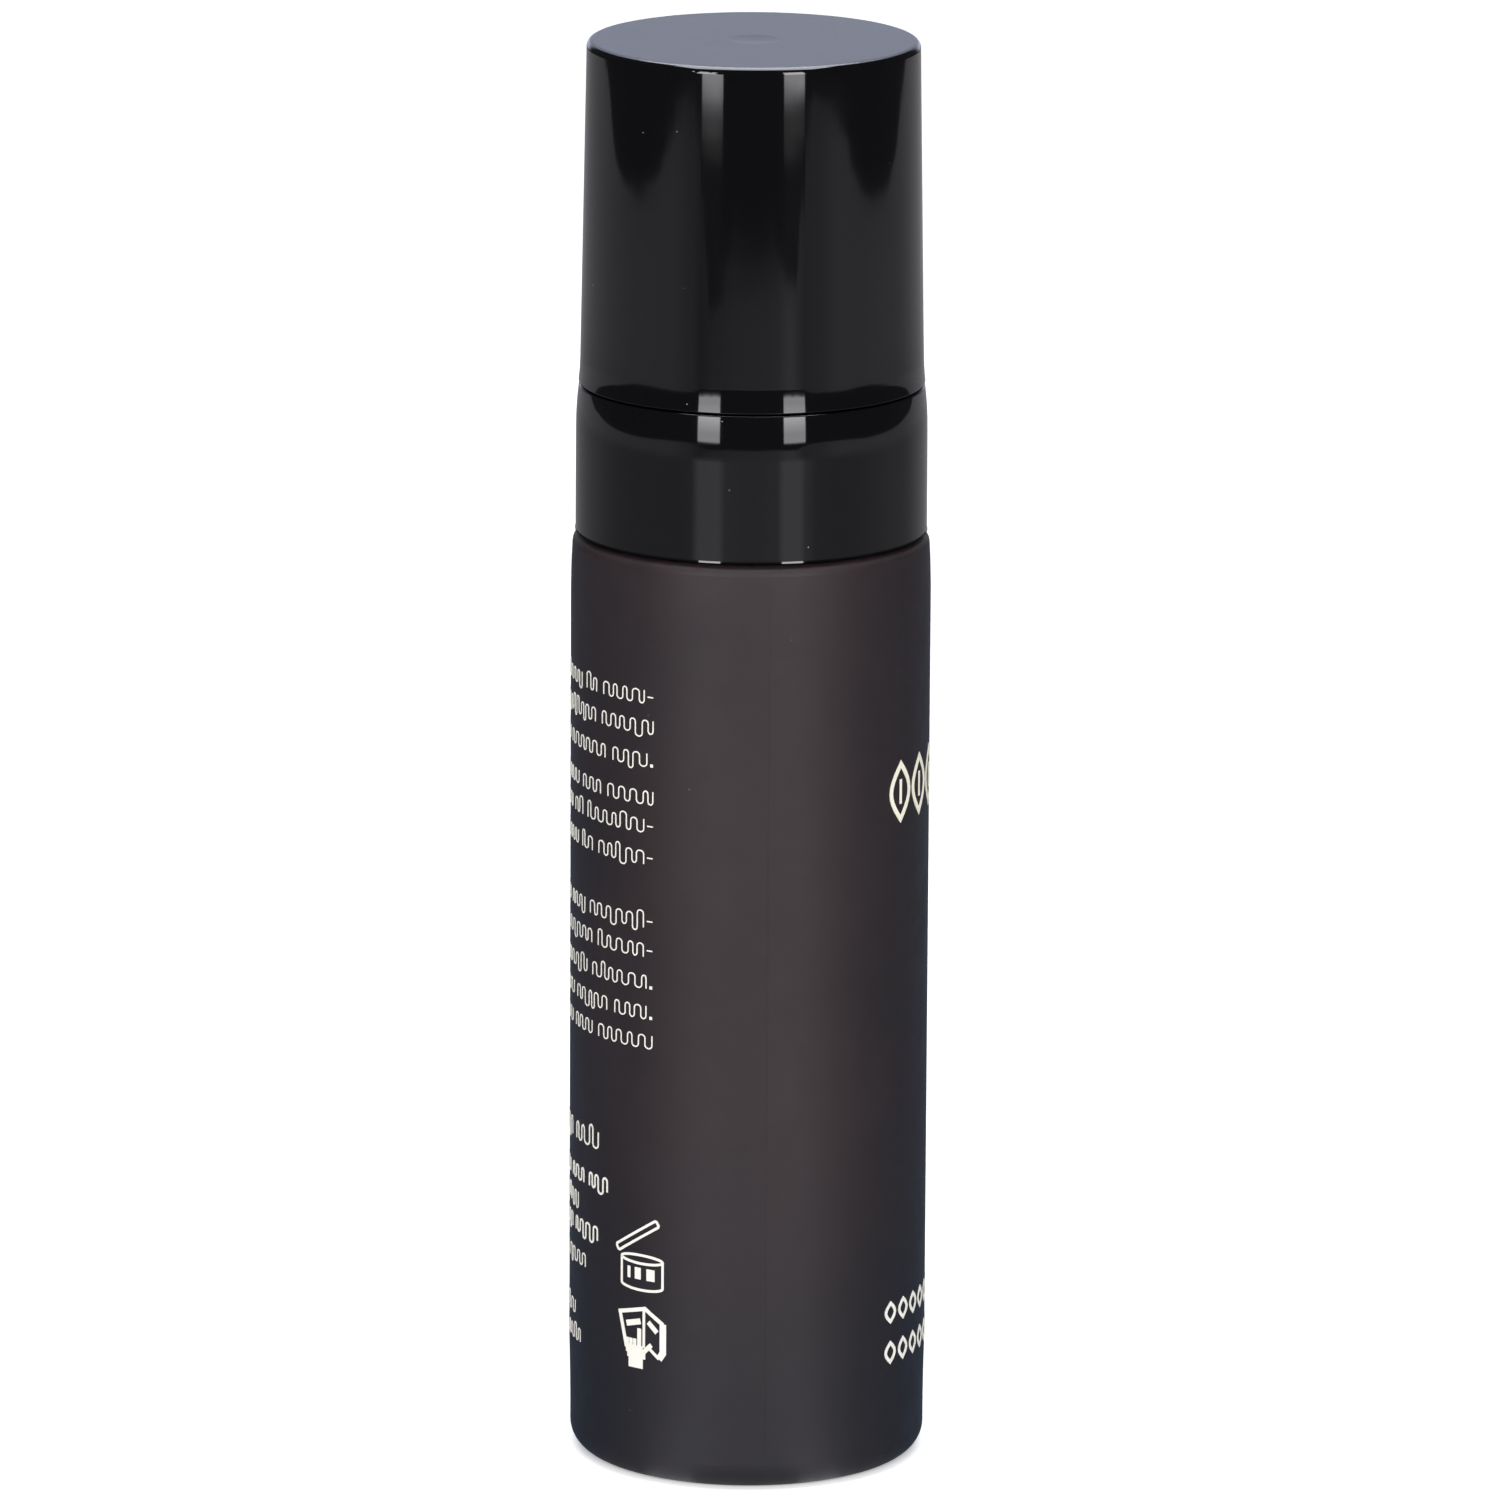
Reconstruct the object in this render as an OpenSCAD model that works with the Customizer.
// Foundation bottle: a glass bottle with a screw neck, a treatment pump
// and a press-on overcap. Millimetres, +Z up, z = 0 at the stand ring,
// the bottle's axis is Z and the nozzle points along -Y.

/* [Bottle] */
// Radius of the glass body
body_r = 15; // [14.8:0.1:15.5]
// Height of the flat shoulder above the base
shoulder_z = 79; // [75:0.5:95]
// Thickness of the glass wall
glass_wall = 2.4; // [1.8:0.1:2.6]
// Radius of the rounded heel
heel_r = 2.2; // [1.5:0.1:3]
// Radius of the rounded shoulder edge
shoulder_edge_r = 1; // [0.5:0.1:2]
// Thickness of the glass floor at its centre
floor_z = 4.6; // [3:0.1:7]
// Height of the push-up inside the stand ring
punt_h = 0.8; // [0.4:0.1:1.5]
// How far the wall draws in above the heel
waist = 0.1; // [0.05:0.05:0.3]

/* [Neck and thread] */
// Height of the neck's lip above the shoulder
neck_h = 14; // [14:0.1:15]
// Radius of the neck's wall between the threads
neck_r = 8.9; // [8.8:0.05:9]
// Radius over the neck's thread
thread_r = 9.85; // [9.7:0.05:9.9]
// Radius of the neck's bore
neck_bore_r = 6.6; // [6.3:0.1:7]
// Pitch of the screw thread
thread_pitch = 3.175; // [3.1:0.025:3.2]
// Number of turns on the neck and in the closure
thread_turns = 1.5; // [1:0.25:1.5]

/* [Collar] */
// Height of the visible part of the collar
collar_h = 12.3; // [12:0.1:12.5]
// Radius at the collar's foot
collar_foot_r = 14.63; // [14.4:0.01:14.8]
// How far the thin lip at the collar's foot flares out
collar_lip = 0.05; // [0.02:0.01:0.1]
// Radius of the turret that the overcap grips
turret_r = 12; // [11.9:0.05:12.05]
// Number of inner ribs that lock the collar to the closure
lock_ribs = 12; // [8:1:16]

/* [Overcap] */
// Height of the overcap
cap_h = 28.68; // [28:0.1:32]
// Radius above the lip
cap_foot_r = 14.3; // [14.2:0.01:14.4]
// Radius at the top
cap_top_r = 13.8; // [13.6:0.01:14]
// How far the lip flares out
cap_lip = 0.1; // [0.05:0.01:0.2]
// Radius of the edge round the top
cap_edge_r = 0.6; // [0.4:0.1:1.2]
// Depth of the small dimple in the middle of the top
dimple_depth = 0.08; // [0.04:0.01:0.2]

/* [Pump] */
// How far the actuator travels
stroke = 4.2; // [3:0.1:4.3]
// How far the stem moves before it takes the piston along
lost_motion = 0.6; // [0.4:0.1:0.8]
// Bore radius of the pump chamber
chamber_r = 3.2; // [3.1:0.05:3.3]
// Radius of the stem
stem_r = 2; // [1.9:0.05:2.05]
// Radius of the inlet ball
ball_r = 1.2; // [1.1:0.05:1.3]
// Outer radius of the dip tube
tube_r = 1.5; // [1.4:0.05:1.6]

/* [Actuator] */
// Radius of the actuator
button_r = 6.9; // [6.8:0.05:7]
// Distance from the axis to the end of the nozzle
nozzle_reach = 10.6; // [9.5:0.1:10.8]

/* [Hidden] */
$fn = 96;
eps = 0.01;
run_gap = 0.03;

// Heights up the stack, from the shoulder to the top of the overcap
lip_z = shoulder_z + neck_h;
collar_z = shoulder_z + 0.2;
ledge_z = collar_z + collar_h;
gasket_t = 1;
flange_t = 1.2;
flange_z = lip_z + gasket_t;
web_z = flange_z + flange_t;
web_t = 1.2;
turret_z = web_z + web_t + 1;
cap_z = ledge_z + 0.15;
cap_top_z = cap_z + cap_h;

// Bottle
cavity_r = body_r - glass_wall;
roof_t = 2.8;
ring_in_r = 9.5;
waist_foot_z = 4;
waist_top_z = 9.5;
shoulder_arc_h = 5;
shoulder_arc_r = 65;
lip_edge_r = 0.5;
cavity_foot_round = 3;
cavity_top_round = 2;

// Thread forms: half widths at the root and the crest, for one pitch
neck_root_w = 0.85;
neck_crest_w = 0.4;
nut_root_r = thread_r + 0.15;
nut_crest_r = neck_r + 0.15;
nut_root_w = 1.0;
nut_crest_w = 0.62;
thread_top_z = lip_z - 1.9;
thread_sink = 0.25;
thread_step = 12;
thread_fade = 30;

// Closure and collar
nut_r = 10.9;
collar_bore_r = nut_r + run_gap;
nut_foot_z = shoulder_z + 0.6;
web_hole_r = 5.65;
rib_w = 1.2;
rib_root = 0.3;
collar_wall = 1.25;
collar_band_h = 3.8;
collar_draft = 0.002;
collar_round_r = 31;
collar_edge_r = 0.15;
collar_lip_h = 0.15;
ledge_t = 1.2;
turret_hole_r = 7.2;
turret_edge_r = 0.4;
bead_r = 0.12;
bead_rise = 3.2;

// Overcap
cap_wall = 1.05;
cap_roof = 1.5;
lip_h = 2;
dimple_r = 2.2;
liner_wall = 0.9;
liner_roof = 0.9;
stop_ribs = 6;

// Pump stack, from the top of the housing down
tower_r = 5.6;
tower_z = web_z + web_t + 0.8;
snap_r = 5.9;
socket_r = 4.3;
socket_z = flange_z - 2;
ring_flange_r = 5.7;
ring_flange_t = 0.8;
chimney_r = 5.2;
chimney_bore_r = 4.2;
chimney_z = tower_z + 6.3;
piston_top_z = socket_z;
piston_foot_z = piston_top_z - 4.6;
hub_top_z = piston_top_z - 1.2;
hub_foot_z = piston_top_z - 5.4;
hub_r = 2.3;
stem_foot_r = 1.6;
stem_bore_r = 1.1;
plug_r = 2.5;
plug_t = 1;
groove_rise = 0.3;
wire_r = 0.25;
coil_r = 2.5;
coil_turns = 5.5;
spring_top_z = hub_foot_z - plug_t;
retainer_z = socket_z - 15.5;
retainer_t = 0.9;
retainer_r = 2.6;
spring_foot_z = retainer_z + retainer_t;
ball_hole_r = 0.7;
ball_room_r = 1.7;
seat_z = retainer_z - 2.9;
tube_top_z = seat_z - 1.2;
tube_socket_h = 6;
tube_gap = 1.5;

// Actuator
// The button clears the overcap's ceiling at rest and the turret when pressed
button_top_z = cap_top_z - 3.33;
button_foot_z = turret_z + stroke + 0.2;
button_wall = 0.9;
button_roof = 1.3;
nozzle_z = button_top_z - 4.8;
stem_top_z = button_top_z - 8.6;
core_r = 3;
socket_gap = 0.04;
spout_r = 1.9;
spout_reach = 0.6;
channel_r = 0.8;
window_r = 2.35;

// ---- Shared shapes ----

// A rectangle in the r-z half plane, from one corner to the other
module block(r0, z0, r1, z1) {
    translate([r0, z0]) square([r1 - r0, z1 - z0]);
}

// What a convex corner at (r, z) loses to a round of radius q;
// the corner points along +r, and along +z when up is 1, else along -z
module corner_waste(r, z, q, up) {
    difference() {
        translate([r - q, up > 0 ? z - q : z - eps]) square([q + eps, q + eps]);
        translate([r - q, z - up * q]) circle(r = q);
    }
}

// Ring of n equal bars that point away from the axis
module bars(n, r0, r1, width, z0, z1, turn = 0) {
    for (i = [0 : n - 1])
        rotate([0, 0, turn + i * 360 / n])
            translate([r0, -width / 2, z0])
                cube([r1 - r0, width, z1 - z0]);
}

// Profile of a thread at one angle: four points, faded out at both ends
function fade(a, span) = min(1, a / thread_fade, (span - a) / thread_fade);

function thread_ring(a, span, root_r, crest_r, root_w, crest_w) =
    let (
        sink = root_r < crest_r ? -thread_sink : thread_sink,
        f = max(0, fade(a, span)),
        r = root_r + sink * 0.5 + (crest_r - root_r - sink * 0.5) * f,
        w = crest_w * (0.5 + 0.5 * f),
        z = thread_pitch * a / 360,
        c = cos(a),
        s = sin(a)
    )
    [
        [(root_r + sink) * c, (root_r + sink) * s, z - root_w],
        [r * c, r * s, z - w],
        [r * c, r * s, z + w],
        [(root_r + sink) * c, (root_r + sink) * s, z + root_w]
    ];

// A right-hand thread that climbs along +Z from the angle 0
module thread(root_r, crest_r, root_w, crest_w) {
    span = thread_turns * 360;
    n = ceil(span / thread_step);
    outside = root_r < crest_r;
    rings = [
        for (i = [0 : n])
            thread_ring(i * span / n, span, root_r, crest_r, root_w, crest_w)
    ];
    points = [for (ring = rings, p = ring) p];
    sides = [
        for (i = [0 : n - 1], j = [0 : 3])
            let (a = 4 * i + j, b = 4 * i + (j + 1) % 4)
            outside ? [a, b, b + 4, a + 4] : [a, a + 4, b + 4, b]
    ];
    first = outside ? [3, 2, 1, 0] : [0, 1, 2, 3];
    last = [for (k = first) 4 * n + 3 - k];
    polyhedron(points, concat([first], sides, [last]), convexity = 6);
}

// ---- Bottle ----

// The wall has a faint waist above the heel and draws in gently under the shoulder
module bottle_outline() {
    waist_r = body_r - waist;
    arc_z = shoulder_z - shoulder_arc_h;
    arc_x = body_r - shoulder_arc_r;
    edge_rise = shoulder_arc_h - shoulder_edge_r;
    edge_x = arc_x + sqrt(shoulder_arc_r * shoulder_arc_r - edge_rise * edge_rise);
    difference() {
        union() {
            polygon([
                [0, 0], [waist_r, 0], [waist_r, waist_foot_z],
                [body_r, waist_top_z], [body_r, arc_z], [0, arc_z]
            ]);
            intersection() {
                block(0, arc_z, body_r, shoulder_z);
                translate([arc_x, arc_z]) circle(r = shoulder_arc_r, $fn = 1440);
            }
            block(0, shoulder_z - 1, neck_r, lip_z);
        }
        corner_waste(waist_r, 0, heel_r, -1);
        corner_waste(edge_x, shoulder_z, shoulder_edge_r, 1);
        corner_waste(neck_r, lip_z, lip_edge_r, 1);
        polygon([[0, -1], [ring_in_r, -1], [ring_in_r, 0], [ring_in_r - 1, punt_h], [0, punt_h]]);
    }
}

module bottle_cavity() {
    cavity_top = shoulder_z - roof_t;
    difference() {
        block(0, floor_z, cavity_r, cavity_top);
        corner_waste(cavity_r, floor_z, cavity_foot_round, -1);
        corner_waste(cavity_r, cavity_top, cavity_top_round, 1);
    }
    block(0, cavity_top - 1, neck_bore_r, lip_z + 1);
}

module bottle() {
    color("#3a3335")
    union() {
        rotate_extrude()
            difference() {
                bottle_outline();
                bottle_cavity();
            }
        translate([0, 0, thread_top_z - thread_pitch * thread_turns])
            thread(neck_r, thread_r, neck_root_w, neck_crest_w);
    }
}

// ---- Closure, collar and gasket ----

module screw_closure() {
    rib_foot_z = nut_foot_z + 0.6;
    rib_top_z = ledge_z - 2;
    rib_reach = 1.2;
    edge_r = 0.4;
    color("#1c1c1f")
    union() {
        rotate_extrude()
            difference() {
                block(web_hole_r, nut_foot_z, nut_r, web_z + web_t);
                block(0, nut_foot_z - 1, nut_root_r, web_z);
                corner_waste(nut_r, web_z + web_t, edge_r, 1);
            }
        translate([0, 0, thread_top_z - thread_pitch * (thread_turns + 0.5)])
            thread(nut_root_r, nut_crest_r, nut_root_w, nut_crest_w);
        bars(lock_ribs, nut_r - rib_root, nut_r + rib_reach, rib_w, rib_foot_z, rib_top_z);
    }
}

// The collar is a slight cone with a thin lip at its foot; it rounds over
// gently towards its top edge
module collar_profile() {
    band_z = ledge_z - collar_band_h;
    band_foot_r = collar_foot_r - collar_draft * (band_z - collar_z);
    arc_x = band_foot_r - collar_round_r;
    arc_z = band_z - collar_draft * collar_round_r;
    edge_rise = ledge_z - collar_edge_r - arc_z;
    edge_x = arc_x + sqrt(collar_round_r * collar_round_r - edge_rise * edge_rise);
    difference() {
        union() {
            polygon([
                [collar_bore_r, collar_z], [collar_foot_r + collar_lip, collar_z],
                [collar_foot_r, collar_z + collar_lip_h],
                [band_foot_r, band_z], [collar_bore_r, band_z]
            ]);
            intersection() {
                block(collar_bore_r, band_z, body_r, ledge_z);
                translate([arc_x, arc_z]) circle(r = collar_round_r, $fn = 1440);
            }
            block(collar_bore_r, ledge_z - ledge_t, turret_r, turret_z);
            block(turret_hole_r, turret_z - 1, turret_r, turret_z);
            translate([turret_r, ledge_z + bead_rise]) circle(r = bead_r, $fn = 24);
        }
        block(0, collar_z - 1, collar_foot_r - collar_wall, ledge_z - ledge_t);
        corner_waste(edge_x, ledge_z, collar_edge_r, 1);
        corner_waste(turret_r, turret_z, turret_edge_r, 1);
    }
}

module collar_shell() {
    rib_in_r = nut_r + 0.9;
    rib_out_r = collar_foot_r - collar_wall + rib_root;
    rib_foot_z = collar_z + 1.4;
    rib_top_z = ledge_z - ledge_t + rib_root;
    color("#121214")
    union() {
        rotate_extrude() collar_profile();
        bars(lock_ribs, rib_in_r, rib_out_r, rib_w, rib_foot_z, rib_top_z, 180 / lock_ribs);
    }
}

module neck_gasket() {
    hole_r = 6.1;
    color("#d8d4cc")
    rotate_extrude()
        block(hole_r, lip_z, neck_r - 0.1, flange_z);
}

// ---- Pump ----

module housing_profile() {
    snap_z = web_z + web_t + 0.12;
    waist_z = retainer_z - 0.6;
    chamber_wall = 1;
    socket_wall = 1.1;
    socket_floor = 1.2;
    snap_rise = 0.28;
    nose_z = seat_z - 1.4;
    nose_foot_r = tube_r + 1;
    nose_top_r = tube_r + 1.4;
    spigot_r = tube_r + 0.9;
    difference() {
        union() {
            block(0, socket_z - socket_floor, socket_r + socket_wall, flange_z + eps);
            block(0, flange_z, neck_r - 0.2, web_z);
            block(0, web_z - eps, tower_r, tower_z);
            polygon([
                [0, snap_z], [tower_r, snap_z], [snap_r, snap_z + snap_rise],
                [tower_r, tower_z], [0, tower_z]
            ]);
            block(0, waist_z, chamber_r + chamber_wall, socket_z);
            polygon([
                [0, nose_z], [nose_foot_r, nose_z], [nose_top_r, seat_z],
                [chamber_r + chamber_wall, waist_z], [0, waist_z]
            ]);
            block(0, tube_top_z - tube_socket_h, spigot_r, seat_z);
        }
        block(0, socket_z, socket_r, tower_z + 1);
        block(0, spring_foot_z, chamber_r, socket_z + eps);
        block(0, retainer_z, retainer_r, spring_foot_z + eps);
        block(0, seat_z + 1, ball_room_r, retainer_z + eps);
        polygon([
            [0, seat_z], [ball_hole_r, seat_z],
            [ball_room_r, seat_z + ball_room_r - ball_hole_r], [0, seat_z + 1.5]
        ]);
        block(0, tube_top_z - eps, ball_hole_r, seat_z + eps);
        block(0, tube_top_z - tube_socket_h - 1, tube_r, tube_top_z);
    }
}

module pump_housing() {
    vent_r = 0.4;
    vent_drop = 2.2;
    color("#e8e6e0")
    difference() {
        rotate_extrude() housing_profile();
        translate([0, 0, piston_top_z - vent_drop])
            rotate([0, 90, 0])
                cylinder(r = vent_r, h = chamber_r + 3, $fn = 24);
    }
}

module retaining_ring() {
    guide_h = 2.2;
    throat_r = chimney_bore_r - 0.7;
    color("#f0eee8")
    rotate_extrude()
        difference() {
            union() {
                block(0, socket_z, socket_r, tower_z);
                block(0, tower_z, ring_flange_r, tower_z + ring_flange_t);
                block(0, tower_z, chimney_r, chimney_z);
            }
            block(0, socket_z - 1, stem_r + 0.05, chimney_z + 1);
            block(0, socket_z + guide_h, throat_r, chimney_z + 1);
            block(0, tower_z + 1, chimney_bore_r, chimney_z + 1);
        }
}

module pump_stem() {
    window_z = hub_foot_z + groove_rise;
    window_w = 0.8;
    top_edge_r = 0.3;
    shoulder = hub_top_z + lost_motion;
    color("#f4f2ee")
    difference() {
        rotate_extrude()
            difference() {
                union() {
                    block(0, hub_foot_z, stem_foot_r, shoulder + eps);
                    block(0, shoulder, stem_r, stem_top_z);
                }
                block(0, hub_foot_z - 1, stem_bore_r, stem_top_z + 1);
                corner_waste(stem_r, stem_top_z, top_edge_r, 1);
            }
        translate([-stem_r - 1, -window_w / 2, window_z])
            cube([2 * stem_r + 2, window_w, window_w]);
    }
}

module stem_plug() {
    shank_h = 3.4;
    groove_z = hub_foot_z + groove_rise;
    groove_x = 0.5;
    color("#d9d6cf")
    difference() {
        union() {
            translate([0, 0, hub_foot_z - plug_t]) cylinder(r = plug_r, h = plug_t);
            translate([0, 0, hub_foot_z - eps]) cylinder(r = stem_bore_r, h = shank_h + eps);
        }
        for (side = [0, 180])
            rotate([0, 0, side])
                translate([groove_x, -2, groove_z]) cube([2, 4, shank_h]);
    }
}

// A sleeve with a sealing lip at each end, a web, and a hub that slides on the stem
module piston() {
    sleeve_r = chamber_r - 0.3;
    sleeve_bore_r = sleeve_r - 0.35;
    lip_r = chamber_r - run_gap;
    lip_land = 0.3;
    lip_taper = 1;
    hub_bore_r = stem_foot_r + run_gap;
    web_foot_z = hub_foot_z + 2;
    color("#c9ccd2")
    rotate_extrude()
        union() {
            polygon([
                [sleeve_bore_r, piston_foot_z], [lip_r, piston_foot_z],
                [lip_r, piston_foot_z + lip_land], [sleeve_r, piston_foot_z + lip_taper],
                [sleeve_r, piston_top_z - lip_taper], [lip_r, piston_top_z - lip_land],
                [lip_r, piston_top_z], [sleeve_bore_r, piston_top_z]
            ]);
            block(hub_bore_r, web_foot_z, sleeve_r - 0.1, web_foot_z + 1);
            block(hub_bore_r, hub_foot_z, hub_r, hub_top_z);
        }
}

// Height of the wire's centre after t turns: closed turns at both ends
function coil_height(t, total, free_h, wire_d) =
    let (dead = 0.8, u = (t - dead) / (total - 2 * dead))
    t < dead ? wire_d * t
        : t > total - dead ? free_h - wire_d * (total - t)
        : wire_d * dead + (free_h - 2 * wire_d * dead) * u;

module return_spring() {
    sides = 8;
    steps = 16;
    n = coil_turns * steps;
    wire_room = wire_r * 1.04;
    free_h = spring_top_z - spring_foot_z - 2 * wire_room;
    points = [
        for (i = [0 : n], j = [0 : sides - 1])
            let (
                a = i * 360 / steps,
                b = j * 360 / sides + 180 / sides,
                r = coil_r + wire_r * cos(b),
                z = spring_foot_z + wire_room + coil_height(i / steps, coil_turns, free_h, 2 * wire_room)
            )
            [r * cos(a), r * sin(a), z + wire_r * sin(b)]
    ];
    skin = [
        for (i = [0 : n - 1], j = [0 : sides - 1])
            let (a = i * sides + j, b = i * sides + (j + 1) % sides)
            [a, b, b + sides, a + sides]
    ];
    first = [for (j = [0 : sides - 1]) sides - 1 - j];
    last = [for (j = [0 : sides - 1]) n * sides + j];
    color("#b8bcc2")
    polyhedron(points, concat([first], skin, [last]), convexity = 8);
}

module ball_retainer() {
    slot_r = 0.45;
    slot_ring_r = 1.15;
    slots = 4;
    color("#e2dfd8")
    difference() {
        translate([0, 0, retainer_z]) cylinder(r = retainer_r, h = retainer_t);
        for (i = [0 : slots - 1])
            rotate([0, 0, (i + 0.5) * 360 / slots])
                translate([slot_ring_r, 0, retainer_z - 1])
                    cylinder(r = slot_r, h = retainer_t + 2, $fn = 24);
    }
}

module inlet_ball() {
    seat_gap = 0.015;
    rest_z = seat_z + 2 * ball_r * cos(45) - ball_hole_r + seat_gap;
    color("#cfd3d8")
    translate([0, 0, rest_z]) sphere(r = ball_r);
}

module dip_tube() {
    foot_z = floor_z + tube_gap;
    tube_wall = 0.5;
    tube_bore_r = tube_r - tube_wall;
    color("#eceae4")
    difference() {
        translate([0, 0, foot_z]) cylinder(r = tube_r, h = tube_top_z - foot_z);
        translate([0, 0, foot_z - 1]) cylinder(r = tube_bore_r, h = tube_top_z - foot_z + 2);
        translate([-tube_r - 1, tube_r, foot_z])
            rotate([-45, 0, 0])
                translate([0, -10, -10]) cube([2 * tube_r + 2, 20, 10]);
    }
}

// ---- Actuator ----

module actuator_shell() {
    dish_r = 40;
    dish = 0.45;
    edge_r = 0.8;
    color("#161618")
    difference() {
        rotate_extrude()
            difference() {
                block(0, button_foot_z, button_r, button_top_z);
                block(0, button_foot_z - 1, button_r - button_wall, button_top_z - button_roof);
                corner_waste(button_r, button_top_z, edge_r, 1);
                intersection() {
                    translate([0, button_top_z - dish + dish_r]) circle(r = dish_r, $fn = 360);
                    block(0, button_top_z - 1, button_r, button_top_z + 1);
                }
            }
        translate([0, 0, nozzle_z])
            rotate([90, 0, 0])
                cylinder(r = window_r, h = button_r + 1);
    }
}

module actuator_core() {
    plate_t = 1;
    plate_z = button_top_z - button_roof - plate_t;
    socket_foot_z = stem_top_z - 3.9;
    socket_top_z = stem_top_z + 0.05;
    color("#2a2a2d")
    difference() {
        union() {
            translate([0, 0, socket_foot_z]) cylinder(r = core_r, h = plate_z - socket_foot_z + eps);
            translate([0, 0, plate_z]) cylinder(r = button_r - button_wall, h = plate_t);
            translate([0, 0, nozzle_z])
                rotate([90, 0, 0])
                    cylinder(r = spout_r, h = button_r + spout_reach);
        }
        translate([0, 0, socket_foot_z - 1])
            cylinder(r = stem_r + socket_gap, h = socket_top_z - socket_foot_z + 1);
        translate([0, 0, stem_top_z - 1])
            cylinder(r = stem_bore_r, h = nozzle_z - stem_top_z + 1);
        translate([0, 0, nozzle_z])
            rotate([90, 0, 0])
                cylinder(r = channel_r, h = button_r + 2);
    }
}

module nozzle_tip() {
    root_y = button_r - 0.7;
    flank_y = button_r + 0.4;
    root_r = window_r - 0.05;
    tip_r = 1.8;
    tip_chamfer = 0.3;
    outlet_r = 0.6;
    color("#161618")
    translate([0, 0, nozzle_z])
        rotate([90, 0, 0])
            rotate_extrude()
                difference() {
                    polygon([
                        [0, root_y], [root_r, root_y], [root_r, flank_y],
                        [tip_r, nozzle_reach - tip_chamfer],
                        [tip_r - tip_chamfer, nozzle_reach], [0, nozzle_reach]
                    ]);
                    block(0, root_y - 1, spout_r, button_r + spout_reach);
                    block(0, root_y, outlet_r, nozzle_reach + 1);
                }
}

// ---- Overcap ----

// The wall draws in towards the top and flares out in a short hollow curve at the lip
module overcap_shell() {
    inner_foot_r = cap_foot_r - cap_wall;
    inner_top_r = cap_top_r - cap_wall;
    inner_top_z = cap_top_z - cap_roof;
    taper = (cap_foot_r - cap_top_r) / cap_h;
    flare_r = lip_h * lip_h / (2 * cap_lip);
    dimple_round_r = dimple_r * dimple_r / (2 * dimple_depth);
    foot_edge_r = 0.15;
    color("#101012")
    rotate_extrude()
        difference() {
            union() {
                polygon([
                    [0, cap_z], [cap_foot_r, cap_z],
                    [cap_top_r, cap_top_z], [0, cap_top_z]
                ]);
                difference() {
                    block(cap_foot_r - 0.3, cap_z, cap_foot_r + cap_lip, cap_z + lip_h);
                    translate([cap_foot_r - taper * lip_h + flare_r, cap_z + lip_h + taper * flare_r])
                        circle(r = flare_r, $fn = 1440);
                }
            }
            corner_waste(cap_foot_r + cap_lip, cap_z, foot_edge_r, -1);
            corner_waste(cap_top_r + taper * cap_edge_r, cap_top_z, cap_edge_r, 1);
            polygon([
                [0, cap_z - 1], [inner_foot_r, cap_z - 1], [inner_foot_r, cap_z],
                [inner_top_r, inner_top_z], [0, inner_top_z]
            ]);
            intersection() {
                block(0, cap_top_z - 1, cap_top_r, cap_top_z + 1);
                translate([0, cap_top_z - dimple_depth + dimple_round_r])
                    circle(r = dimple_round_r, $fn = 720);
            }
        }
}

module overcap_liner() {
    skin = 0.06;
    out_foot_r = cap_foot_r - cap_wall - skin;
    out_top_r = cap_top_r - cap_wall - skin;
    out_top_z = cap_top_z - cap_roof;
    in_r = turret_r + 0.15;
    in_top_r = out_top_r - liner_wall;
    foot_z = cap_z + 0.3;
    stop_z = turret_z + 0.02;
    stop_top_z = out_top_z - liner_roof - 8;
    stop_in_r = 11.2;
    stop_w = 0.9;
    lead_in = 0.3;
    color("#3c3c40")
    union() {
        rotate_extrude()
            difference() {
                polygon([
                    [0, foot_z], [out_foot_r, foot_z],
                    [out_top_r, out_top_z], [0, out_top_z]
                ]);
                polygon([
                    [0, foot_z - 1], [in_r + lead_in, foot_z - 1], [in_r + lead_in, foot_z],
                    [in_r, foot_z + 2 * lead_in], [in_r, turret_z - 1],
                    [in_top_r, turret_z + 2], [in_top_r, out_top_z - liner_roof],
                    [0, out_top_z - liner_roof]
                ]);
            }
        bars(stop_ribs, stop_in_r, in_top_r + 0.3, stop_w, stop_z, stop_top_z, 30);
    }
}

bottle();
screw_closure();
collar_shell();
neck_gasket();
pump_housing();
retaining_ring();
pump_stem();
stem_plug();
piston();
return_spring();
ball_retainer();
inlet_ball();
dip_tube();
actuator_shell();
actuator_core();
nozzle_tip();
overcap_shell();
overcap_liner();
